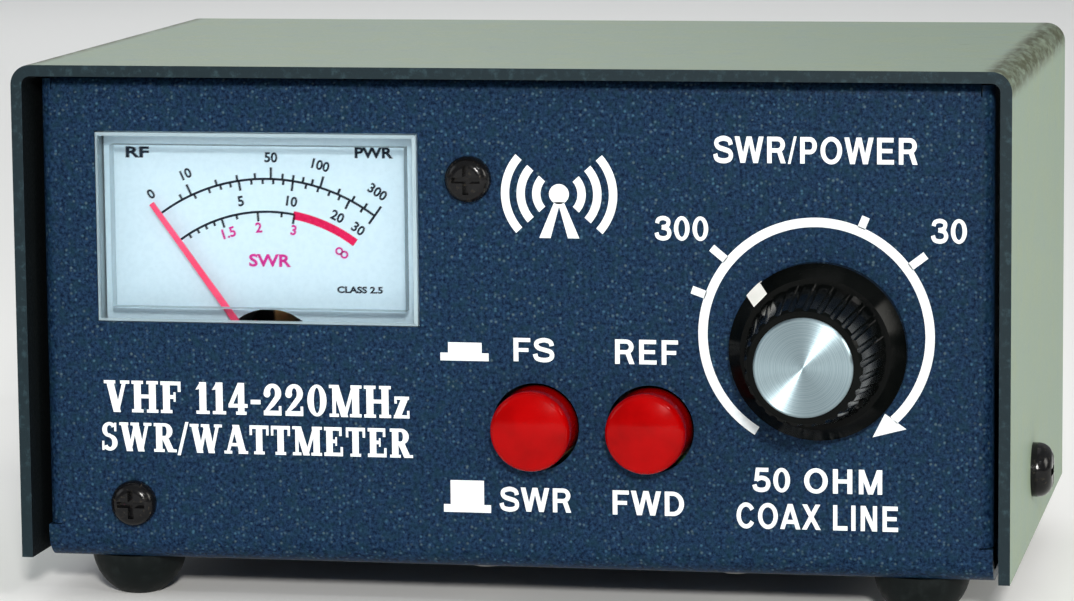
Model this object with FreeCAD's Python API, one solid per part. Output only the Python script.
"""VHF SWR and power meter: a small steel case with a moving-coil meter, two push switches and a level knob.

Row frame, in millimetres: +X to the right seen from the front, +Y from the front panel to the rear,
+Z up. The origin is under the middle of the whole object, on the surface that its feet stand on.
Each function builds one sub-part, and the table at the end names the file that each is written to.
"""

import FreeCAD, Part
import math
import os

V = FreeCAD.Vector

# ---------------------------------------------------------------- driving dimensions
# Wrap-around cover
COVER_WIDTH = 114.3
COVER_HEIGHT = 57.15
COVER_DEPTH = 73.0
COVER_SHEET = 1.3
COVER_BEND = 2.3

# Folded chassis: front panel, base and rear panel in one strip
CHASSIS_SHEET = 1.2
PANEL_RECESS = 3.5
PANEL_HALF_FLAT = 53.4
PANEL_BEND = 1.5
BASE_BEND = 3.1
FLANGE_DEPTH = 8.0
BASE_HALF_WIDTH = 55.7
BASE_FLANGE_HEIGHT = 16.0
COVER_TO_CHASSIS_GAP = 0.2
BASE_BELOW_COVER = 0.7
CORNER_SLIT = 0.15

# Feet
FOOT_HEIGHT = 5.0
FOOT_RADIUS = 5.55
FOOT_FLAT_RADIUS = 2.2
FOOT_X = 46.2
FOOT_FROM_EDGE = 11.0

# Knob and the connectors set how far the object reaches in front and behind
KNOB_HEIGHT = 14.3
SOCKET_FLANGE = 1.6
SOCKET_REACH = 15.5

# ---------------------------------------------------------------- levels worked out from them
FRONT_REACH = KNOB_HEIGHT - PANEL_RECESS
REAR_REACH = SOCKET_REACH - PANEL_RECESS
COVER_FRONT = FRONT_REACH - (FRONT_REACH + COVER_DEPTH + REAR_REACH) / 2
COVER_REAR = COVER_FRONT + COVER_DEPTH
PANEL = COVER_FRONT + PANEL_RECESS
PANEL_BACK = PANEL + CHASSIS_SHEET
REAR = COVER_REAR - PANEL_RECESS
REAR_INSIDE = REAR - CHASSIS_SHEET

BASE_UNDER = FOOT_HEIGHT
BASE_TOP = BASE_UNDER + CHASSIS_SHEET
COVER_BOTTOM = BASE_UNDER + BASE_BELOW_COVER
COVER_TOP = COVER_BOTTOM + COVER_HEIGHT
COVER_INSIDE = COVER_TOP - COVER_SHEET
CHASSIS_TOP = COVER_INSIDE - COVER_TO_CHASSIS_GAP
COVER_SCREW_Y = COVER_FRONT + 29.0
COVER_SCREW_Z = COVER_BOTTOM + 8.1

# Meter: the window's middle, and the pivot that its needle turns on
WINDOW_X = -29.4
WINDOW_Z = COVER_BOTTOM + 38.3
WINDOW_WIDTH = 37.7
WINDOW_HEIGHT = 21.8
WINDOW_PROUD = 0.6
WINDOW_WALL = 1.5
WINDOW_PANE = 1.0
METER_WIDTH = 41.5
METER_TOP = WINDOW_Z + 12.8
METER_BOTTOM = METER_TOP - 41.0
PIVOT_X = -29.0
PIVOT_Z = COVER_BOTTOM + 22.1
DIAL_Y = PANEL + 3.8
DIAL_SHEET = 0.5
TRAY_REAR = PANEL + 5.0
METER_REAR = PANEL + 25.0
NEEDLE_REST_DEG = 126.0
NEEDLE_LENGTH = 23.0
NEEDLE_BEND_RADIUS = 5.3

# Meter fixings, each through the panel into a standoff that carries the clamp
METER_FIXINGS = [(-44.5, COVER_BOTTOM + 6.1), (-4.5, COVER_BOTTOM + 44.3)]
SMALL_SCREW_HEAD = 2.65
SMALL_SCREW_SHANK = 1.4
SMALL_SCREW_HOLE = 1.6
STANDOFF_FLATS = 5.0

# Level control and its knob
KNOB_X = 35.5
KNOB_Z = COVER_BOTTOM + 25.6
KNOB_POINTER_DEG = 136.0
SKIRT_RADIUS = 10.0
FLUTES = 26
FLUTE_RADIUS = 0.52
FLUTE_AXIS_OUT = 0.26
SHAFT_RADIUS = 3.0
BUSHING_RADIUS = 3.5
POT_RADIUS = 8.2

# Push switches
BUTTON_XS = {"left": 2.95, "right": 16.13}
BUTTON_Z = COVER_BOTTOM + 16.05
BUTTON_RADIUS = 4.58
BUTTON_HOLE = 5.05
BUTTON_PROUD = 4.5
BUTTON_DOME = 14.0
BUTTON_TRAVEL = 3.5
SWITCH_FRONT = PANEL + 8.0
SWITCH_REAR = PANEL + 30.0
SWITCH_WIDTH = 10.0
SWITCH_HEIGHT = 8.0
PLUNGER = 3.4

# Boards
BOARD = 1.6
SWITCH_BOARD_TOP = BUTTON_Z - SWITCH_HEIGHT / 2
SWITCH_BOARD_X = (-8.0, 27.0)
SWITCH_BOARD_Y = (PANEL + 9.0, PANEL + 40.0)
COUPLER_Y = REAR_INSIDE - 12.0
COUPLER_X = 35.0
COUPLER_Z = (COVER_BOTTOM + 17.0, COVER_BOTTOM + 39.0)

# Coaxial sockets on the rear panel: 5/8 inch thread, 25.4 mm square flange
SOCKET_XS = {"transmitter": -25.0, "antenna": 25.0}
SOCKET_Z = COVER_BOTTOM + 28.0
SOCKET_THREAD_RADIUS = 7.9375
SOCKET_BORE = 6.3
SOCKET_SQUARE = 25.4
SOCKET_HOLE_SPACING = 18.26
CONTACT_OUTER = 2.9
CONTACT_BORE = 2.0
CONTACT_DEPTH = 9.0
SPILL_RADIUS = 1.5


# ---------------------------------------------------------------- small shape helpers
def box(x0, x1, y0, y1, z0, z1):
    """A block between two corners."""
    return Part.makeBox(x1 - x0, y1 - y0, z1 - z0, V(x0, y0, z0))


def rod(x, z, radius, y0, y1):
    """A cylinder along Y."""
    return Part.makeCylinder(radius, y1 - y0, V(x, y0, z), V(0, 1, 0))


def ring(x, z, outer, inner, y0, y1):
    """A round tube along Y."""
    return rod(x, z, outer, y0, y1).cut(rod(x, z, inner, y0 - 1, y1 + 1))


def cone(x, z, radius0, radius1, y0, y1):
    """A truncated cone along Y, from radius0 at y0 to radius1 at y1."""
    return Part.makeCone(radius0, radius1, y1 - y0, V(x, y0, z), V(0, 1, 0))


def hexagon(x, z, flats, y0, y1):
    """A hexagonal bar along Y, measured across its flats."""
    corner = flats / math.sqrt(3)
    angles = [math.radians(60 * i) for i in range(7)]
    points = [V(x + corner * math.cos(a), y0, z + corner * math.sin(a)) for a in angles]
    return Part.Face(Part.makePolygon(points)).extrude(V(0, y1 - y0, 0))


def join(*shapes):
    """One solid out of shapes that touch or overlap."""
    return shapes[0].multiFuse(list(shapes[1:])).removeSplitter()


def cut(shape, *tools):
    """shape with every tool taken out of it."""
    return shape.cut(list(tools))


def several(shapes):
    """Separate solids that share one file."""
    return Part.makeCompound(list(shapes))


def stood(shape, at, axis):
    """shape, made along +Z from the origin, turned so that its +Z points along axis and moved to at."""
    placed = shape.copy()
    placed.Placement = FreeCAD.Placement(V(*at), FreeCAD.Rotation(V(0, 0, 1), V(*axis)))
    return placed


def polar(x, z, radius, degrees):
    """The X and Z of a point round a Y axis, its angle counted from +X towards +Z."""
    angle = math.radians(degrees)
    return x + radius * math.cos(angle), z + radius * math.sin(angle)


def turned(shape, x, z, degrees):
    """shape turned about the Y axis through x, z, counterclockwise seen from the front."""
    placed = shape.copy()
    placed.rotate(V(x, 0, z), V(0, -1, 0), degrees)
    return placed


def rounded_outline(u0, u1, w0, w1, low_radius, high_radius, place):
    """A closed wire: a rectangle whose two low and two high corners are rounded. place makes a 3-D point."""
    corners = [
        (u0, w0, 1, 1, low_radius),
        (u1, w0, -1, 1, low_radius),
        (u1, w1, -1, -1, high_radius),
        (u0, w1, 1, -1, high_radius),
    ]
    edges = []
    previous = None
    first = None
    bulge = 1 - math.sqrt(0.5)
    for index, (u, w, du, dw, radius) in enumerate(corners):
        along_u = place(u + du * radius, w)
        along_w = place(u, w + dw * radius)
        start, end = (along_w, along_u) if index % 2 == 0 else (along_u, along_w)
        middle = place(u + du * radius * bulge, w + dw * radius * bulge)
        if previous is None:
            first = start
        else:
            edges.append(Part.LineSegment(previous, start).toShape())
        edges.append(Part.Arc(start, middle, end).toShape())
        previous = end
    edges.append(Part.LineSegment(previous, first).toShape())
    return Part.Wire(edges)


def folded_tube(u0, u1, w0, w1, low_radius, high_radius, sheet, place, extrude):
    """A tube of bent sheet: a rounded rectangle with an even wall, extruded."""
    outer = rounded_outline(u0, u1, w0, w1, low_radius, high_radius, place)
    inner = rounded_outline(
        u0 + sheet, u1 - sheet, w0 + sheet, w1 - sheet, low_radius - sheet, high_radius - sheet, place
    )
    return Part.Face(outer).extrude(extrude).cut(Part.Face(inner).extrude(extrude))


def pan_screw(head_radius, head_height, shank_radius, length):
    """A cross-recessed pan-head screw along Z: its head above the origin, its shank below."""
    head = Part.makeCylinder(head_radius, head_height)
    top_edge = [e for e in head.Edges if abs(e.BoundBox.ZMin - head_height) < 1e-6 and e.BoundBox.ZLength < 1e-6]
    head = head.makeFillet(head_height * 0.72, top_edge)
    slot = head_radius * 0.62
    half = head_radius * 0.13
    deep = head_height * 0.45
    for dx, dy in ((slot, half), (half, slot)):
        head = head.cut(box(-dx, dx, -dy, dy, deep, head_height + 1))
    shank = Part.makeCylinder(shank_radius, length, V(0, 0, -length))
    return join(head, shank)


def bent_wire(points, radius):
    """A round wire along straight runs joined by tangent arcs, each as large as its two runs allow."""
    at = [V(*p) for p in points]
    edges = []
    start = at[0]
    for before, corner, after in zip(at, at[1:], at[2:]):
        back = (before - corner).normalize()
        ahead = (after - corner).normalize()
        reach = 0.45 * min((before - corner).Length, (after - corner).Length)
        first = corner + back * reach
        last = corner + ahead * reach
        half_opening = back.getAngle(ahead) / 2
        bisector = (back + ahead).normalize()
        arc_radius = reach * math.tan(half_opening)
        middle = corner + bisector * (reach / math.cos(half_opening) - arc_radius)
        edges.append(Part.LineSegment(start, first).toShape())
        edges.append(Part.Arc(first, middle, last).toShape())
        start = last
    edges.append(Part.LineSegment(start, at[-1]).toShape())
    path = Part.Wire(edges)
    section = Part.Wire(Part.makeCircle(radius, at[0], at[1] - at[0]))
    return path.makePipeShell([section], True, False)


# ---------------------------------------------------------------- case
def window_opening():
    """The rectangular cut-out that the meter's window stands in, with a small clearance all round."""
    clearance = 0.15
    half_w = WINDOW_WIDTH / 2 + clearance
    half_h = WINDOW_HEIGHT / 2 + clearance
    return box(
        WINDOW_X - half_w, WINDOW_X + half_w, PANEL - 1, PANEL_BACK + 1, WINDOW_Z - half_h, WINDOW_Z + half_h
    )


def board_feet():
    """Where the switch board's four standoffs stand, as X and Y."""
    inset = 2.8
    return [(x, y) for x in (SWITCH_BOARD_X[0] + inset, SWITCH_BOARD_X[1] - inset)
            for y in (SWITCH_BOARD_Y[0] + inset, SWITCH_BOARD_Y[1] - inset)]


def socket_screws():
    """Where the eight flange screws of the two sockets are, as X and Z."""
    half = SOCKET_HOLE_SPACING / 2
    return [(x + dx, SOCKET_Z + dz) for x in SOCKET_XS.values() for dx in (-half, half) for dz in (-half, half)]


def chassis():
    """Front panel, base and rear panel folded from one strip, with stiffening and fixing flanges."""
    strip_outline = (PANEL, REAR, BASE_UNDER, CHASSIS_TOP, BASE_BEND, PANEL_BEND, CHASSIS_SHEET)
    strip = folded_tube(
        *strip_outline, lambda y, z: V(-PANEL_HALF_FLAT, y, z), V(2 * PANEL_HALF_FLAT, 0, 0)
    )
    full_half = PANEL_HALF_FLAT + PANEL_BEND
    low_strip = folded_tube(*strip_outline, lambda y, z: V(-full_half, y, z), V(2 * full_half, 0, 0))
    low_strip_top = BASE_UNDER + BASE_BEND + 0.9
    low_strip = low_strip.common(box(-60, 60, PANEL - 1, REAR + 1, 0, low_strip_top))
    flange_low = low_strip_top + CORNER_SLIT
    flange_high = CHASSIS_TOP - 0.3
    upright = folded_tube(
        -full_half, full_half, PANEL, REAR, PANEL_BEND, PANEL_BEND, CHASSIS_SHEET,
        lambda x, y: V(x, y, flange_low), V(0, 0, flange_high - flange_low),
    )
    slit_x = PANEL_HALF_FLAT + CORNER_SLIT
    upright = upright.cut(box(-slit_x, slit_x, PANEL - 1, REAR + 1, CHASSIS_TOP - PANEL_BEND - 0.1, 80))
    base_front = PANEL + FLANGE_DEPTH + 1.0
    base_rear = REAR - FLANGE_DEPTH - 1.0
    tray = folded_tube(
        -BASE_HALF_WIDTH, BASE_HALF_WIDTH, BASE_UNDER, CHASSIS_TOP, PANEL_BEND, PANEL_BEND, CHASSIS_SHEET,
        lambda x, z: V(x, base_front, z), V(0, base_rear - base_front, 0),
    )
    tray = tray.common(box(-60, 60, base_front, base_rear, 0, BASE_UNDER + BASE_FLANGE_HEIGHT))
    middle = box(-60, 60, PANEL + FLANGE_DEPTH, REAR - FLANGE_DEPTH, BASE_TOP + 0.01, 80)
    body = join(strip.cut(middle), low_strip.cut(middle), upright.cut(middle), tray)

    holes = [window_opening(), rod(KNOB_X, KNOB_Z, BUSHING_RADIUS + 0.1, PANEL - 1, PANEL_BACK + 1)]
    holes += [rod(x, BUTTON_Z, BUTTON_HOLE, PANEL - 1, PANEL_BACK + 1) for x in BUTTON_XS.values()]
    holes += [rod(x, z, SMALL_SCREW_HOLE, PANEL - 1, PANEL_BACK + 1) for x, z in METER_FIXINGS]
    holes += [rod(x, SOCKET_Z, 6.9, REAR_INSIDE - 1, REAR + 1) for x in SOCKET_XS.values()]
    holes += [rod(x, z, SMALL_SCREW_HOLE, REAR_INSIDE - 1, REAR + 1) for x, z in socket_screws()]
    holes += [
        Part.makeCylinder(SMALL_SCREW_HOLE, 4, V(x, y, BASE_UNDER - 1), V(0, 0, 1)) for x, y in board_feet()
    ]
    holes.append(Part.makeCylinder(1.75, 140, V(-70, COVER_SCREW_Y, COVER_SCREW_Z), V(1, 0, 0)))
    return cut(body, *holes)


def cover():
    """The top and both sides, folded from one sheet."""
    half = COVER_WIDTH / 2
    tube = folded_tube(
        -half, half, COVER_BOTTOM - 10, COVER_TOP, COVER_BEND, COVER_BEND, COVER_SHEET,
        lambda x, z: V(x, COVER_FRONT, z), V(0, COVER_DEPTH, 0),
    )
    below = box(-70, 70, COVER_FRONT - 1, COVER_REAR + 1, COVER_BOTTOM - 20, COVER_BOTTOM)
    screw_hole = Part.makeCylinder(1.95, 140, V(-70, COVER_SCREW_Y, COVER_SCREW_Z), V(1, 0, 0))
    return cut(tube, below, screw_hole)


def cover_screws():
    """One self-tapping screw through each side of the cover into the base flange."""
    screw = pan_screw(3.2, 2.4, 1.7, 6.5)
    half = COVER_WIDTH / 2
    return several(
        stood(screw, (side * half, COVER_SCREW_Y, COVER_SCREW_Z), (side, 0, 0)) for side in (-1, 1)
    )


def rubber_feet():
    """Four stick-on domed feet, each with a small flat to stand on."""
    drop = FOOT_HEIGHT
    sphere_radius = (FOOT_RADIUS ** 2 + drop ** 2) / (2 * drop)
    flat_height = sphere_radius - math.sqrt(sphere_radius ** 2 - FOOT_FLAT_RADIUS ** 2)
    # The dome is a sphere that is cut flat below, then stretched down so that the flat is at the floor.
    stretch = drop / (drop - flat_height)
    feet = []
    for x in (-FOOT_X, FOOT_X):
        for y in (COVER_FRONT + FOOT_FROM_EDGE, COVER_REAR - FOOT_FROM_EDGE):
            start_angle = math.degrees(math.asin((sphere_radius - drop) / sphere_radius))
            top = V(FOOT_RADIUS, 0, drop)
            low = V(FOOT_FLAT_RADIUS, 0, 0)
            bulge_angle = math.radians((90 + start_angle) / 2)
            mid = V(
                sphere_radius * math.cos(bulge_angle), 0,
                drop - stretch * (sphere_radius * math.sin(bulge_angle) - (sphere_radius - drop)),
            )
            profile = Part.Wire([
                Part.LineSegment(V(0, 0, 0), low).toShape(),
                Part.Arc(low, mid, top).toShape(),
                Part.LineSegment(top, V(0, 0, drop)).toShape(),
                Part.LineSegment(V(0, 0, drop), V(0, 0, 0)).toShape(),
            ])
            foot = Part.Face(profile).revolve(V(0, 0, 0), V(0, 0, 1), 360)
            foot.translate(V(x, y, 0))
            feet.append(foot)
    return several(feet)


# ---------------------------------------------------------------- meter
def meter_window():
    """Clear moulded front: a raised window that fills the panel's cut-out, on a tray behind the panel."""
    half_w = WINDOW_WIDTH / 2
    half_h = WINDOW_HEIGHT / 2
    raised = box(
        WINDOW_X - half_w, WINDOW_X + half_w, PANEL - WINDOW_PROUD, PANEL_BACK + 0.5,
        WINDOW_Z - half_h, WINDOW_Z + half_h,
    )
    front = [e for e in raised.Edges if e.BoundBox.YMax < PANEL - WINDOW_PROUD + 1e-6]
    raised = raised.makeChamfer(0.35, front)
    tray = box(
        WINDOW_X - METER_WIDTH / 2, WINDOW_X + METER_WIDTH / 2, PANEL_BACK, TRAY_REAR, METER_BOTTOM, METER_TOP
    )
    window_hollow = box(
        WINDOW_X - half_w + WINDOW_WALL, WINDOW_X + half_w - WINDOW_WALL,
        PANEL - WINDOW_PROUD + WINDOW_PANE, TRAY_REAR,
        WINDOW_Z - half_h + WINDOW_WALL, WINDOW_Z + half_h - WINDOW_WALL,
    )
    tray_hollow = box(
        WINDOW_X - METER_WIDTH / 2 + WINDOW_WALL, WINDOW_X + METER_WIDTH / 2 - WINDOW_WALL,
        PANEL_BACK + WINDOW_PANE, TRAY_REAR + 1,
        METER_BOTTOM + WINDOW_WALL, METER_TOP - WINDOW_WALL,
    )
    return cut(join(raised, tray), window_hollow, tray_hollow)


def meter_terminal_places():
    """Where the meter's two studs come through the back of its case, as X and Z."""
    return [(WINDOW_X + dx, METER_TOP - 9.0) for dx in (-10.0, 10.0)]


def dial_screw_places():
    """Where the dial's two screws are, as X and Z: below the window, each side of the pivot."""
    return [(PIVOT_X + dx, PIVOT_Z - 4.0) for dx in (-13.0, 13.0)]


def yoke_post_places():
    """Where the case's four posts meet the yoke ring."""
    return [polar(PIVOT_X, PIVOT_Z, 7.9, degrees) for degrees in (50, 130, 230, 310)]


def meter_case():
    """Moulded rear housing, with posts inside for the dial and the movement."""
    x0, x1 = WINDOW_X - METER_WIDTH / 2, WINDOW_X + METER_WIDTH / 2
    wall = WINDOW_WALL
    shell = box(x0, x1, TRAY_REAR, METER_REAR, METER_BOTTOM, METER_TOP).cut(
        box(x0 + wall, x1 - wall, TRAY_REAR - 1, METER_REAR - wall, METER_BOTTOM + wall, METER_TOP - wall)
    )
    dial_posts = [rod(x, z, 2.0, DIAL_Y + DIAL_SHEET, METER_REAR - 1) for x, z in dial_screw_places()]
    yoke_posts = [rod(x, z, 1.0, PANEL + 19.0, METER_REAR - 1) for x, z in yoke_post_places()]
    body = join(shell, *dial_posts, *yoke_posts)
    pilot_holes = [rod(x, z, 0.65, DIAL_Y, DIAL_Y + 6) for x, z in dial_screw_places()]
    stud_holes = [rod(x, z, 1.55, METER_REAR - 3, METER_REAR + 1) for x, z in meter_terminal_places()]
    return cut(body, *pilot_holes, *stud_holes)


def meter_dial():
    """Scale plate, with a round clearance hole round the pivot."""
    clearance = 0.25
    half = METER_WIDTH / 2 - WINDOW_WALL - clearance
    plate = box(
        WINDOW_X - half, WINDOW_X + half, DIAL_Y, DIAL_Y + DIAL_SHEET,
        METER_BOTTOM + WINDOW_WALL + clearance, METER_TOP - WINDOW_WALL - clearance,
    )
    holes = [rod(x, z, 0.8, DIAL_Y - 1, DIAL_Y + 1) for x, z in dial_screw_places()]
    return cut(plate, rod(PIVOT_X, PIVOT_Z, 6.4, DIAL_Y - 1, DIAL_Y + 1), *holes)


def dial_screws():
    """Two tiny screws that hold the dial on its posts."""
    screw = pan_screw(1.2, 0.6, 0.6, 4.0)
    return several(stood(screw, (x, DIAL_Y, z), (0, -1, 0)) for x, z in dial_screw_places())


YOKE_FRONT = PANEL + 10.0
YOKE_REAR = PANEL + 19.0
COIL_FRONT = PANEL + 8.6
COIL_REAR = PANEL + 20.4


def meter_yoke():
    """Soft-iron return ring round the coil."""
    return ring(PIVOT_X, PIVOT_Z, 9.0, 6.8, YOKE_FRONT, YOKE_REAR)


def meter_core():
    """Round magnet inside the coil."""
    return rod(PIVOT_X, PIVOT_Z, 4.0, YOKE_FRONT, YOKE_REAR)


def core_support():
    """Two brass ribs that hold the magnet in the ring, above and below it, clear of the coil's swing."""
    ribs = box(PIVOT_X - 1.2, PIVOT_X + 1.2, YOKE_FRONT + 1, YOKE_REAR - 1, PIVOT_Z - 7.5, PIVOT_Z + 7.5)
    gap = ring(PIVOT_X, PIVOT_Z, 6.8, 4.0, YOKE_FRONT, YOKE_REAR)
    return ribs.common(gap)


def meter_bridges():
    """Front and rear bearing bridges, each on two posts that stand on the ring."""
    bridges = []
    for bar_front, post_front, post_rear in (
        (PANEL + 6.0, PANEL + 7.0, YOKE_FRONT), (PANEL + 22.0, YOKE_REAR, PANEL + 22.0)
    ):
        bar = box(PIVOT_X - 9.3, PIVOT_X + 9.3, bar_front, bar_front + 1.0, PIVOT_Z - 2.2, PIVOT_Z + 2.2)
        posts = [rod(PIVOT_X + dx, PIVOT_Z, 0.95, post_front, post_rear) for dx in (-7.9, 7.9)]
        bearing_hole = rod(PIVOT_X, PIVOT_Z, 1.02, bar_front - 1, bar_front + 2)
        bridges.append(cut(join(bar, *posts), bearing_hole))
    return several(bridges)


def jewel_screws():
    """Two bearing screws, each with a cup that a pivot runs in."""
    front = rod(PIVOT_X, PIVOT_Z, 1.0, PANEL + 5.4, PANEL + 7.5)
    front = front.cut(rod(PIVOT_X, PIVOT_Z, 0.40, PANEL + 6.9, PANEL + 8))
    front = front.cut(box(PIVOT_X - 2, PIVOT_X + 2, PANEL + 5, PANEL + 5.8, PIVOT_Z - 0.2, PIVOT_Z + 0.2))
    rear = rod(PIVOT_X, PIVOT_Z, 1.0, PANEL + 21.5, PANEL + 23.4)
    rear = rear.cut(rod(PIVOT_X, PIVOT_Z, 0.40, PANEL + 21, PANEL + 22.1))
    return several([front, rear])


def moving_coil():
    """Coil wound on a light frame, standing across the magnet with its plane along the needle's normal."""
    thick = 1.4
    loop = box(-6.2, 6.2, COIL_FRONT, COIL_REAR, -thick / 2, thick / 2)
    loop = loop.cut(box(-4.6, 4.6, COIL_FRONT + 1, COIL_REAR - 1, -thick, thick))
    loop.translate(V(PIVOT_X, 0, PIVOT_Z))
    return turned(loop, PIVOT_X, PIVOT_Z, NEEDLE_REST_DEG - 90)


def coil_pivots():
    """Front and rear hardened pivots of the coil."""
    return several([
        rod(PIVOT_X, PIVOT_Z, 0.35, PANEL + 7.1, COIL_FRONT),
        rod(PIVOT_X, PIVOT_Z, 0.35, COIL_REAR, PANEL + 21.9),
    ])


def meter_needle():
    """Pointer: a hub behind the bridge, an arm that steps forward through the dial, and a flat blade."""
    arm_y = PANEL + 8.0
    blade_y = PANEL + 2.6
    blade_sheet = 0.25
    hub = rod(0, 0, 1.2, arm_y, arm_y + 0.4)
    arm = box(-5.0, NEEDLE_BEND_RADIUS, arm_y, arm_y + 0.4, -0.35, 0.35)
    riser = box(NEEDLE_BEND_RADIUS - 0.3, NEEDLE_BEND_RADIUS, blade_y, arm_y + 0.4, -0.4, 0.4)
    root, tip = NEEDLE_BEND_RADIUS - 0.3, NEEDLE_LENGTH
    outline = [V(root, blade_y, -0.4), V(tip, blade_y, -0.3), V(tip, blade_y, 0.3), V(root, blade_y, 0.4)]
    blade = Part.Face(Part.makePolygon(outline + outline[:1])).extrude(V(0, blade_sheet, 0))
    weight = box(-5.2, -3.6, arm_y, arm_y + 0.4, -1.0, 1.0)
    needle = join(hub, arm, riser, blade, weight).cut(rod(0, 0, 0.35, arm_y - 1, arm_y + 1))
    needle.translate(V(PIVOT_X, 0, PIVOT_Z))
    return turned(needle, PIVOT_X, PIVOT_Z, NEEDLE_REST_DEG)


def hairsprings():
    """A flat spiral spring at each end of the coil, built from half turns that grow outwards."""
    ribbon = 0.12
    start = 0.35 + ribbon
    pitch = 0.42
    springs = []
    for y0 in (PANEL + 7.6, PANEL + 21.0):
        edges = []
        centre = 0.0
        radius = start
        for half_turn in range(9):
            side = 1 if half_turn % 2 == 0 else -1
            first = V(centre + side * radius, y0, 0)
            last = V(centre - side * radius, y0, 0)
            edges.append(Part.Arc(first, V(centre, y0, side * radius), last).toShape())
            radius += pitch / 2
            centre += side * pitch / 2
        spiral = Part.Wire(edges)
        section = Part.makePolygon([
            V(start - ribbon / 2, y0, 0), V(start + ribbon / 2, y0, 0),
            V(start + ribbon / 2, y0 + 0.25, 0), V(start - ribbon / 2, y0 + 0.25, 0),
            V(start - ribbon / 2, y0, 0),
        ])
        spring = spiral.makePipeShell([section], True, False, 2)
        spring.translate(V(PIVOT_X, 0, PIVOT_Z))
        springs.append(spring)
    return several(springs)


def meter_terminals():
    """Two studs that carry the current out of the meter's back."""
    studs = []
    for x, z in meter_terminal_places():
        head = rod(x, z, 2.6, METER_REAR - 3.5, METER_REAR - WINDOW_WALL)
        studs.append(join(head, rod(x, z, 1.5, METER_REAR - 3, METER_REAR + 6)))
    return several(studs)


TAG_SHEET = 0.6
TAG_REACH = 5.8


def terminal_nuts():
    """A nut and a solder tag on each stud."""
    pieces = []
    for x, z in meter_terminal_places():
        tag_y = METER_REAR
        tag = join(
            rod(x, z, 2.8, tag_y, tag_y + TAG_SHEET),
            box(x - 1, x + 1, tag_y, tag_y + TAG_SHEET, z, z + TAG_REACH + 1.2),
        )
        pieces.append(tag.cut(rod(x, z, 1.55, tag_y - 1, tag_y + 2)))
        nut = hexagon(x, z, 5.5, tag_y + TAG_SHEET, tag_y + 3.0)
        pieces.append(nut.cut(rod(x, z, 1.52, tag_y, tag_y + 4)))
    return several(pieces)


def meter_screws():
    """Two panel screws that hold the meter's clamp."""
    screw = pan_screw(SMALL_SCREW_HEAD, 1.8, SMALL_SCREW_SHANK, 8.0)
    return several(stood(screw, (x, PANEL, z), (0, -1, 0)) for x, z in METER_FIXINGS)


def meter_standoffs():
    """Hexagonal standoffs between the panel and the clamp."""
    return several(
        hexagon(x, z, STANDOFF_FLATS, PANEL_BACK, METER_REAR).cut(
            rod(x, z, SMALL_SCREW_SHANK + 0.04, PANEL_BACK - 1, METER_REAR + 1)
        )
        for x, z in METER_FIXINGS
    )


CLAMP_SHEET = 1.2


def meter_clamp():
    """Diagonal steel strap that presses the meter's back towards the panel."""
    (x0, z0), (x1, z1) = METER_FIXINGS
    length = math.hypot(x1 - x0, z1 - z0)
    degrees = math.degrees(math.atan2(z1 - z0, x1 - x0))
    rear = METER_REAR + CLAMP_SHEET
    bar = join(
        box(0, length, METER_REAR, rear, -3.5, 3.5),
        rod(0, 0, 3.5, METER_REAR, rear),
        rod(length, 0, 3.5, METER_REAR, rear),
    )
    bar = cut(bar, *[rod(u, 0, SMALL_SCREW_HOLE, METER_REAR - 1, rear + 1) for u in (0, length)])
    bar.translate(V(x0, 0, z0))
    return turned(bar, x0, z0, degrees)


def clamp_screws():
    """Two screws through the strap into the standoffs."""
    screw = pan_screw(SMALL_SCREW_HEAD, 1.8, SMALL_SCREW_SHANK, 7.0)
    return several(stood(screw, (x, METER_REAR + CLAMP_SHEET, z), (0, 1, 0)) for x, z in METER_FIXINGS)


# ---------------------------------------------------------------- level control and knob
KNOB_REAR = PANEL - 0.8
KNOB_FRONT = PANEL - KNOB_HEIGHT
SKIRT_FRONT = PANEL - 2.2
SKIRT_SHOULDER = PANEL - 3.9
BODY_FRONT = KNOB_FRONT + 0.35
BODY_REAR_RADIUS = 8.0
BODY_FRONT_RADIUS = 6.5
SET_SCREW_Y = PANEL - 8.0


def skirt(radius_grow=0.0):
    """The knob's skirt: a short drum and a bevel up to the fluted body."""
    drum = rod(KNOB_X, KNOB_Z, SKIRT_RADIUS + radius_grow, SKIRT_FRONT, KNOB_REAR)
    bevel = cone(
        KNOB_X, KNOB_Z, BODY_REAR_RADIUS + 0.5 + radius_grow, SKIRT_RADIUS + radius_grow,
        SKIRT_SHOULDER, SKIRT_FRONT,
    )
    return join(drum, bevel)


def pointer_block(margin):
    """The space of the white pointer: a short bar across the skirt's bevel, at the pointer's angle."""
    bar = box(8.55 - margin, SKIRT_RADIUS + 1, SKIRT_SHOULDER - 1, KNOB_REAR + 1, -1.05 - margin, 1.05 + margin)
    bar.translate(V(KNOB_X, 0, KNOB_Z))
    return turned(bar, KNOB_X, KNOB_Z, KNOB_POINTER_DEG)


def set_screw_rod(radius, inner, outer):
    """A radial rod at the set screw's place, between two radii."""
    start = V(KNOB_X, SET_SCREW_Y, KNOB_Z)
    angle = math.radians(KNOB_POINTER_DEG + 180)
    outward = V(math.cos(angle), 0, math.sin(angle))
    return Part.makeCylinder(radius, outer - inner, start + outward * inner, outward)


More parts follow.
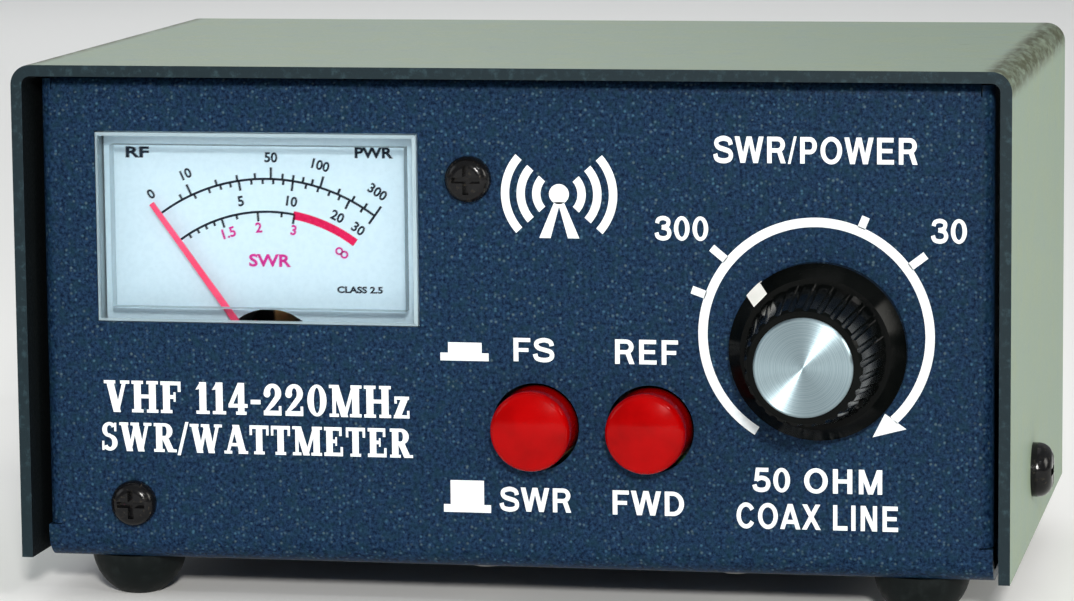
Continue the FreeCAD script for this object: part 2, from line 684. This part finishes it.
def knob_body():
    """Moulded knob: fluted tapering body on a bevelled skirt, hollow underneath for the nut."""
    body = cone(KNOB_X, KNOB_Z, BODY_FRONT_RADIUS, BODY_REAR_RADIUS, BODY_FRONT, SKIRT_SHOULDER + 0.6)
    edge = [e for e in body.Edges if e.BoundBox.YMax < BODY_FRONT + 1e-6 and e.BoundBox.ZLength > 1]
    body = body.makeChamfer(0.3, edge)
    length = SKIRT_SHOULDER - BODY_FRONT + 2
    lean = math.atan2(BODY_REAR_RADIUS - BODY_FRONT_RADIUS, SKIRT_SHOULDER - BODY_FRONT)
    grooves = []
    for flute in range(FLUTES):
        degrees = KNOB_POINTER_DEG + 360.0 * (flute + 0.5) / FLUTES
        x, z = polar(KNOB_X, KNOB_Z, BODY_FRONT_RADIUS + FLUTE_AXIS_OUT - math.sin(lean), degrees)
        angle = math.radians(degrees)
        axis = V(math.cos(angle) * math.sin(lean), math.cos(lean), math.sin(angle) * math.sin(lean))
        grooves.append(Part.makeCylinder(FLUTE_RADIUS, length, V(x, BODY_FRONT - 1.0, z), axis))
    body = body.cut(grooves)
    solid = join(body, skirt())
    hollow = rod(KNOB_X, KNOB_Z, 6.9, PANEL - 3.4, KNOB_REAR + 1)
    shaft_bore = rod(KNOB_X, KNOB_Z, SHAFT_RADIUS + 0.02, KNOB_FRONT + 2.4, KNOB_REAR + 1)
    insert_recess = rod(KNOB_X, KNOB_Z, 5.55, BODY_FRONT - 1, KNOB_FRONT + 1.0)
    screw_hole = set_screw_rod(1.27, SHAFT_RADIUS - 0.5, 9.5)
    return cut(solid, hollow, shaft_bore, insert_recess, screw_hole, pointer_block(0.0))


def knob_insert():
    """Spun aluminium disc pressed into the knob's face."""
    disc = rod(KNOB_X, KNOB_Z, 5.5, KNOB_FRONT, KNOB_FRONT + 1.0)
    edge = [e for e in disc.Edges if e.BoundBox.YMax < KNOB_FRONT + 1e-6 and e.BoundBox.ZLength > 1]
    return disc.makeChamfer(0.2, edge)


def knob_pointer():
    """White pointer let into the skirt."""
    keep_outside = rod(KNOB_X, KNOB_Z, 6.9, PANEL - 5, KNOB_REAR + 1)
    return pointer_block(0.0).common(skirt(0.12)).cut(keep_outside)


def knob_set_screw():
    """Grub screw that grips the shaft, opposite the pointer."""
    screw = set_screw_rod(1.25, SHAFT_RADIUS, 6.4)
    return screw.cut(set_screw_rod(0.6, 5.4, 7.0))


def pot_shaft():
    """Shaft of the level control."""
    return rod(KNOB_X, KNOB_Z, SHAFT_RADIUS, KNOB_FRONT + 2.6, PANEL + 6.4)


def pot_wiper():
    """Wiper disc on the shaft, with its contact finger."""
    disc = ring(KNOB_X, KNOB_Z, 5.0, SHAFT_RADIUS, PANEL + 4.6, PANEL + 5.6)
    finger = box(3.6, 6.6, PANEL + 4.6, PANEL + 5.0, -0.8, 0.8)
    finger.translate(V(KNOB_X, 0, KNOB_Z))
    return join(disc, turned(finger, KNOB_X, KNOB_Z, KNOB_POINTER_DEG))


def pot_bushing():
    """Mounting plate and threaded bushing that the shaft runs in."""
    plate = rod(KNOB_X, KNOB_Z, POT_RADIUS, PANEL_BACK, PANEL + 2.4)
    body = join(plate, rod(KNOB_X, KNOB_Z, BUSHING_RADIUS, PANEL - 3.2, PANEL + 2))
    return body.cut(rod(KNOB_X, KNOB_Z, SHAFT_RADIUS + 0.05, PANEL - 5, PANEL + 4))


def pot_washer():
    """Washer under the control's nut."""
    return ring(KNOB_X, KNOB_Z, 5.6, BUSHING_RADIUS + 0.06, PANEL - 0.5, PANEL)


def pot_nut():
    """Hexagonal nut that holds the control to the panel."""
    nut = hexagon(KNOB_X, KNOB_Z, 10.0, PANEL - 2.5, PANEL - 0.5)
    return nut.cut(rod(KNOB_X, KNOB_Z, BUSHING_RADIUS + 0.03, PANEL - 4, PANEL))


def pot_wafer():
    """Phenolic wafer with a raised track, open at the bottom, and a tongue for the three terminals."""
    disc = rod(KNOB_X, KNOB_Z, POT_RADIUS, PANEL + 2.4, PANEL + 3.6)
    tongue = box(KNOB_X - 6.5, KNOB_X + 6.5, PANEL + 2.4, PANEL + 3.6, KNOB_Z - 11.0, KNOB_Z - 5)
    track = ring(KNOB_X, KNOB_Z, 6.6, 4.6, PANEL + 3.5, PANEL + 3.9)
    track = track.cut(box(KNOB_X - 2.2, KNOB_X + 2.2, PANEL + 3, PANEL + 5, KNOB_Z - 8, KNOB_Z))
    return join(disc, tongue, track).cut(rod(KNOB_X, KNOB_Z, SHAFT_RADIUS + 0.2, PANEL, PANEL + 5))


def pot_case():
    """Pressed can over the back of the control."""
    can = rod(KNOB_X, KNOB_Z, POT_RADIUS, PANEL + 3.6, PANEL + 10.0)
    return can.cut(rod(KNOB_X, KNOB_Z, POT_RADIUS - 0.6, PANEL + 3, PANEL + 9.4))


def pot_terminal_xs():
    """The X of the control's three terminals."""
    return [KNOB_X + dx for dx in (-5.0, 0.0, 5.0)]


def pot_terminals():
    """Three solder tags behind the wafer's tongue."""
    tags = []
    for x in pot_terminal_xs():
        tag = box(x - 1.0, x + 1.0, PANEL + 3.6, PANEL + 4.0, KNOB_Z - 15.0, KNOB_Z - 9.2)
        tags.append(tag.cut(rod(x, KNOB_Z - 13.4, 0.6, PANEL + 3, PANEL + 5)))
    return several(tags)


# ---------------------------------------------------------------- push switches
CAP_REAR = PANEL + 3.8
SOCKET_IN_CAP = PANEL + 0.6
PLUNGER_REAR = PANEL + 17.0
SPRING_END = PANEL + 24.0


def button_cap(x):
    """Round cap with a gently domed face and an eased edge, pushed on its plunger."""
    front = PANEL - BUTTON_PROUD
    cap = rod(x, BUTTON_Z, BUTTON_RADIUS, front - 1, CAP_REAR)
    dome = Part.makeSphere(BUTTON_DOME, V(x, front + BUTTON_DOME, BUTTON_Z))
    block = box(x - 6, x + 6, front + 2, CAP_REAR, BUTTON_Z - 6, BUTTON_Z + 6)
    cap = cap.common(dome.fuse(block)).removeSplitter()
    rim = [e for e in cap.Edges if e.BoundBox.YLength < 1e-4 and front + 0.2 < e.BoundBox.YMax < front + 2]
    cap = cap.makeFillet(0.8, rim)
    half = PLUNGER / 2
    return cap.cut(box(x - half, x + half, SOCKET_IN_CAP, CAP_REAR + 1, BUTTON_Z - half, BUTTON_Z + half))


def plunger(x):
    """Square stem from the cap into the switch, with a collar that keeps it in."""
    half = PLUNGER / 2
    stem = box(x - half, x + half, SOCKET_IN_CAP, PLUNGER_REAR, BUTTON_Z - half, BUTTON_Z + half)
    collar = box(x - 2.6, x + 2.6, SWITCH_FRONT + 1.3, PLUNGER_REAR, BUTTON_Z - 2.3, BUTTON_Z + 2.3)
    nose = rod(x, BUTTON_Z, 0.7, PLUNGER_REAR, PLUNGER_REAR + 1.5)
    return join(stem, collar, nose)


def switch_case(x):
    """Switch housing, hollow for the plunger and its spring."""
    half_w, half_h = SWITCH_WIDTH / 2, SWITCH_HEIGHT / 2
    block = box(x - half_w, x + half_w, SWITCH_FRONT, SWITCH_REAR, BUTTON_Z - half_h, BUTTON_Z + half_h)
    slot = PLUNGER / 2 + 0.15
    mouth = box(x - slot, x + slot, SWITCH_FRONT - 1, SWITCH_FRONT + 3, BUTTON_Z - slot, BUTTON_Z + slot)
    hollow = box(x - 2.8, x + 2.8, SWITCH_FRONT + 1.2, SPRING_END, BUTTON_Z - 2.5, BUTTON_Z + 2.5)
    return cut(block, mouth, hollow)


def return_spring(x):
    """Coil spring behind the plunger."""
    wire = 0.25
    coil_radius = 1.5
    turns = 5
    length = SPRING_END - PLUNGER_REAR - 2 * wire
    points = []
    steps = 12 * turns
    for step in range(steps + 1):
        angle = 2 * math.pi * turns * step / steps
        rise = length * step / steps
        points.append(V(coil_radius * math.cos(angle), coil_radius * math.sin(angle), rise))
    curve = Part.BSplineCurve()
    curve.interpolate(points)
    start_direction = curve.tangent(curve.FirstParameter)[0]
    section = Part.Wire(Part.makeCircle(wire, points[0], start_direction))
    spring = Part.Wire([curve.toShape()]).makePipeShell([section], True, True)
    return stood(spring, (x, PLUNGER_REAR + wire, BUTTON_Z), (0, 1, 0))


def switch_pin_places():
    """Where the switches' pins go through the board, as X and Y."""
    return [
        (x + dx, SWITCH_FRONT + 6.0 + 4.0 * row)
        for x in BUTTON_XS.values() for dx in (-2.5, 2.5) for row in range(4)
    ]


def switch_pins():
    """Solder pins under both switches."""
    low = SWITCH_BOARD_TOP - BOARD - 1.4
    return several(
        Part.makeCylinder(0.35, SWITCH_BOARD_TOP - low, V(x, y, low)) for x, y in switch_pin_places()
    )


def switch_board():
    """Circuit board that both switches are soldered to."""
    low = SWITCH_BOARD_TOP - BOARD
    plate = box(*SWITCH_BOARD_X, *SWITCH_BOARD_Y, low, SWITCH_BOARD_TOP)
    pin_holes = [Part.makeCylinder(0.5, BOARD + 2, V(x, y, low - 1)) for x, y in switch_pin_places()]
    screw_holes = [Part.makeCylinder(SMALL_SCREW_HOLE, BOARD + 2, V(x, y, low - 1)) for x, y in board_feet()]
    return cut(plate, *pin_holes, *screw_holes)


def board_standoffs():
    """Four round standoffs between the base and the switch board."""
    height = SWITCH_BOARD_TOP - BOARD - BASE_TOP
    return several(
        Part.makeCylinder(2.5, height, V(x, y, BASE_TOP)).cut(
            Part.makeCylinder(SMALL_SCREW_SHANK + 0.04, height + 2, V(x, y, BASE_TOP - 1))
        )
        for x, y in board_feet()
    )


def board_screws():
    """Screws into both ends of the standoffs: from under the base and from above the board."""
    screw = pan_screw(SMALL_SCREW_HEAD, 1.6, SMALL_SCREW_SHANK, 4.2)
    low = [stood(screw, (x, y, BASE_UNDER), (0, 0, -1)) for x, y in board_feet()]
    high = [stood(screw, (x, y, SWITCH_BOARD_TOP), (0, 0, 1)) for x, y in board_feet()]
    return several(low + high)


# ---------------------------------------------------------------- coupler behind the sockets
LINE_RADIUS = 1.2
LINE_Y = COUPLER_Y - 2.2


def coupler_board():
    """Upright board that carries the coupler and the detector parts."""
    plate = box(-COUPLER_X, COUPLER_X, COUPLER_Y, COUPLER_Y + BOARD, *COUPLER_Z)
    return cut(
        plate, *[rod(x, SOCKET_Z, SPILL_RADIUS, COUPLER_Y - 1, COUPLER_Y + 3) for x in SOCKET_XS.values()]
    )


def coupler_line():
    """Through line between the two sockets' contacts, along the front of the board."""
    x0, x1 = sorted(SOCKET_XS.values())
    bar = Part.makeCylinder(LINE_RADIUS, x1 - x0, V(x0, LINE_Y, SOCKET_Z), V(1, 0, 0))
    return cut(bar, *[rod(x, SOCKET_Z, SPILL_RADIUS, LINE_Y - 3, LINE_Y + 3) for x in (x0, x1)])


def pickup_lines():
    """Two sampling strips on the board, above and below the through line."""
    return several(
        box(-14, 14, COUPLER_Y - 0.3, COUPLER_Y, SOCKET_Z + side * 4.0 - 0.8, SOCKET_Z + side * 4.0 + 0.8)
        for side in (-1, 1)
    )


def axial_part(x, z, radius, length, lead):
    """A round-bodied component lying along X on the board's front, with straight leads."""
    y = COUPLER_Y - radius - 0.3
    body = Part.makeCylinder(radius, length, V(x - length / 2, y, z), V(1, 0, 0))
    leads = Part.makeCylinder(0.25, length + 2 * lead, V(x - length / 2 - lead, y, z), V(1, 0, 0))
    return join(body, leads)


def detector_diodes():
    """Two glass diodes, one for each sampling strip."""
    return several(axial_part(side * 21.5, SOCKET_Z + side * 7.0, 0.9, 4.0, 2.0) for side in (-1, 1))


def load_resistors():
    """Two resistors that end the sampling strips."""
    return several(axial_part(-side * 21.5, SOCKET_Z + side * 7.0, 1.2, 6.0, 2.0) for side in (-1, 1))


def bypass_capacitors():
    """Two disc capacitors."""
    discs = []
    for side in (-1, 1):
        x, z = side * 31.5, SOCKET_Z + side * 4.0
        discs.append(rod(x, z, 2.5, COUPLER_Y - 2.2, COUPLER_Y))
    return several(discs)


# ---------------------------------------------------------------- coaxial sockets
BARREL_REAR = REAR + SOCKET_REACH
INSULATOR_REAR = REAR + 8.0
INSULATOR_FRONT = REAR_INSIDE - 3.0


def socket_shell(x):
    """Square flange and threaded barrel with a notched rim."""
    half = SOCKET_SQUARE / 2
    flange = box(x - half, x + half, REAR, REAR + SOCKET_FLANGE, SOCKET_Z - half, SOCKET_Z + half)
    corners = [e for e in flange.Edges if e.BoundBox.YLength > SOCKET_FLANGE - 1e-6 and e.BoundBox.XLength < 1e-6]
    flange = flange.makeFillet(2.0, corners)
    barrel = rod(x, SOCKET_Z, SOCKET_THREAD_RADIUS, REAR, BARREL_REAR)
    spigot = rod(x, SOCKET_Z, 6.8, REAR_INSIDE - 1.5, REAR + 1)
    bore = rod(x, SOCKET_Z, SOCKET_BORE, REAR_INSIDE - 3, BARREL_REAR + 1)
    screw_holes = [
        rod(hx, hz, SMALL_SCREW_HOLE, REAR - 1, REAR + 3) for hx, hz in socket_screws() if abs(hx - x) < half
    ]
    notches = [
        box(x - 0.9, x + 0.9, BARREL_REAR - 1.0, BARREL_REAR + 1, SOCKET_Z - 9, SOCKET_Z + 9),
        box(x - 9, x + 9, BARREL_REAR - 1.0, BARREL_REAR + 1, SOCKET_Z - 0.9, SOCKET_Z + 0.9),
    ]
    return cut(join(flange, barrel, spigot), bore, *screw_holes, *notches)


def socket_insulators():
    """White insulators that hold the centre contacts."""
    pieces = []
    for x in SOCKET_XS.values():
        body = rod(x, SOCKET_Z, SOCKET_BORE, INSULATOR_FRONT, INSULATOR_REAR)
        pieces.append(body.cut(rod(x, SOCKET_Z, CONTACT_OUTER, INSULATOR_FRONT - 1, INSULATOR_REAR + 1)))
    return several(pieces)


def socket_contacts():
    """Centre contacts: a round socket outside and a solder spill that reaches the coupler board inside."""
    pieces = []
    for x in SOCKET_XS.values():
        rear = BARREL_REAR - 1.6
        barrel = rod(x, SOCKET_Z, CONTACT_OUTER, INSULATOR_FRONT, rear)
        spill = rod(x, SOCKET_Z, SPILL_RADIUS, LINE_Y - LINE_RADIUS, INSULATOR_FRONT + 1)
        bore = rod(x, SOCKET_Z, CONTACT_BORE, rear - CONTACT_DEPTH, rear + 1)
        pieces.append(join(barrel, spill).cut(bore))
    return several(pieces)


def socket_fixing_screws():
    """Eight screws through the socket flanges and the rear panel."""
    screw = pan_screw(2.6, 1.7, SMALL_SCREW_SHANK, 7.0)
    return several(stood(screw, (x, REAR + SOCKET_FLANGE, z), (0, 1, 0)) for x, z in socket_screws())


def socket_fixing_nuts():
    """Eight nuts inside the rear panel."""
    return several(
        hexagon(x, z, 5.0, REAR_INSIDE - 2.2, REAR_INSIDE).cut(
            rod(x, z, SMALL_SCREW_SHANK + 0.03, REAR_INSIDE - 4, REAR_INSIDE + 1)
        )
        for x, z in socket_screws()
    )


# ---------------------------------------------------------------- wiring
WIRE_RADIUS = 0.55


def meter_wire_routes():
    """From the meter's two tags down to the switch board."""
    routes = []
    for (x, z), board_x, back in zip(meter_terminal_places(), (-0.5, 2.0), (35.5, 33.0)):
        tag_z = z + TAG_REACH
        board_y = PANEL + 33.0
        routes.append([
            (x, METER_REAR + TAG_SHEET, tag_z),
            (x, PANEL + back - 1.0, tag_z),
            (x + 0.3 * (board_x - x), PANEL + back, tag_z - 10.0),
            (x + 0.7 * (board_x - x), PANEL + back, SWITCH_BOARD_TOP + 14.0),
            (board_x, board_y, SWITCH_BOARD_TOP + 7.0),
            (board_x, board_y, SWITCH_BOARD_TOP),
        ])
    return routes


def pot_wire_routes():
    """From the level control's three tags to the right-hand edge of the switch board."""
    routes = []
    board_x = SWITCH_BOARD_X[1] - 2.5
    for index, x in enumerate(pot_terminal_xs()):
        board_y = PANEL + 18.0 + 5.0 * index
        tag_y = PANEL + 4.0
        tag_z = KNOB_Z - 13.4
        routes.append([
            (x, tag_y, tag_z),
            (x, (tag_y + board_y) / 2, tag_z),
            ((x + board_x) / 2 + 0.5, board_y - 1.0, tag_z + 5.0),
            (board_x, board_y, tag_z + 5.5),
            (board_x, board_y, SWITCH_BOARD_TOP),
        ])
    return routes


def coupler_wire_routes():
    """Forward, reflected and ground, from the coupler board to the switch board's rear edge."""
    routes = []
    starts = [(-8.0, COUPLER_Z[0] + 3.0), (6.0, COUPLER_Z[0] + 2.5), (26.0, COUPLER_Z[0] + 2.0)]
    for (x, z), board_x in zip(starts, (6.0, 10.0, 14.0)):
        board_y = PANEL + 38.0
        routes.append([
            (x, COUPLER_Y, z),
            (x, COUPLER_Y - 5.0, z),
            ((x + board_x) / 2, COUPLER_Y - 9.0, z + 1.0),
            (board_x, board_y, SWITCH_BOARD_TOP + 5.0),
            (board_x, board_y, SWITCH_BOARD_TOP),
        ])
    return routes


def hookup_wires():
    """Eight insulated wires between the meter, the level control, the coupler and the switch board."""
    routes = meter_wire_routes() + pot_wire_routes() + coupler_wire_routes()
    return several(bent_wire(route, WIRE_RADIUS) for route in routes)


# ---------------------------------------------------------------- the files
SUBPARTS = {
    "chassis": chassis,
    "cover": cover,
    "cover_screws": cover_screws,
    "rubber_feet": rubber_feet,
    "meter_window": meter_window,
    "meter_case": meter_case,
    "meter_dial": meter_dial,
    "dial_screws": dial_screws,
    "meter_yoke": meter_yoke,
    "meter_core_magnet": meter_core,
    "core_support": core_support,
    "bearing_bridges": meter_bridges,
    "jewel_screws": jewel_screws,
    "moving_coil": moving_coil,
    "coil_pivots": coil_pivots,
    "meter_needle": meter_needle,
    "hairsprings": hairsprings,
    "meter_terminals": meter_terminals,
    "terminal_nuts": terminal_nuts,
    "meter_screws": meter_screws,
    "meter_standoffs": meter_standoffs,
    "meter_clamp": meter_clamp,
    "clamp_screws": clamp_screws,
    "knob_body": knob_body,
    "knob_insert": knob_insert,
    "knob_pointer": knob_pointer,
    "knob_set_screw": knob_set_screw,
    "pot_shaft": pot_shaft,
    "pot_wiper": pot_wiper,
    "pot_bushing": pot_bushing,
    "pot_washer": pot_washer,
    "pot_nut": pot_nut,
    "pot_wafer": pot_wafer,
    "pot_case": pot_case,
    "pot_terminals": pot_terminals,
    "switch_pins": switch_pins,
    "switch_board": switch_board,
    "board_standoffs": board_standoffs,
    "board_screws": board_screws,
    "coupler_board": coupler_board,
    "coupler_line": coupler_line,
    "pickup_lines": pickup_lines,
    "detector_diodes": detector_diodes,
    "load_resistors": load_resistors,
    "bypass_capacitors": bypass_capacitors,
    "socket_insulators": socket_insulators,
    "socket_contacts": socket_contacts,
    "socket_fixing_screws": socket_fixing_screws,
    "socket_fixing_nuts": socket_fixing_nuts,
    "hookup_wires": hookup_wires,
}

for side, button_x in BUTTON_XS.items():
    SUBPARTS[side + "_button_cap"] = lambda x=button_x: button_cap(x)
    SUBPARTS[side + "_switch_plunger"] = lambda x=button_x: plunger(x)
    SUBPARTS[side + "_switch_spring"] = lambda x=button_x: return_spring(x)
    SUBPARTS[side + "_switch_case"] = lambda x=button_x: switch_case(x)
for name, socket_x in SOCKET_XS.items():
    SUBPARTS[name + "_socket"] = lambda x=socket_x: socket_shell(x)

os.makedirs("parts", exist_ok=True)
for node, build in SUBPARTS.items():
    shape = build()
    if not shape.isValid() or not shape.Solids:
        print("problem in", node, "valid", shape.isValid(), "solids", len(shape.Solids))
    shape.exportStep(os.path.join("parts", node + ".step"))
print(len(SUBPARTS), "sub-parts; cover front", COVER_FRONT, "panel", PANEL, "rear", REAR)
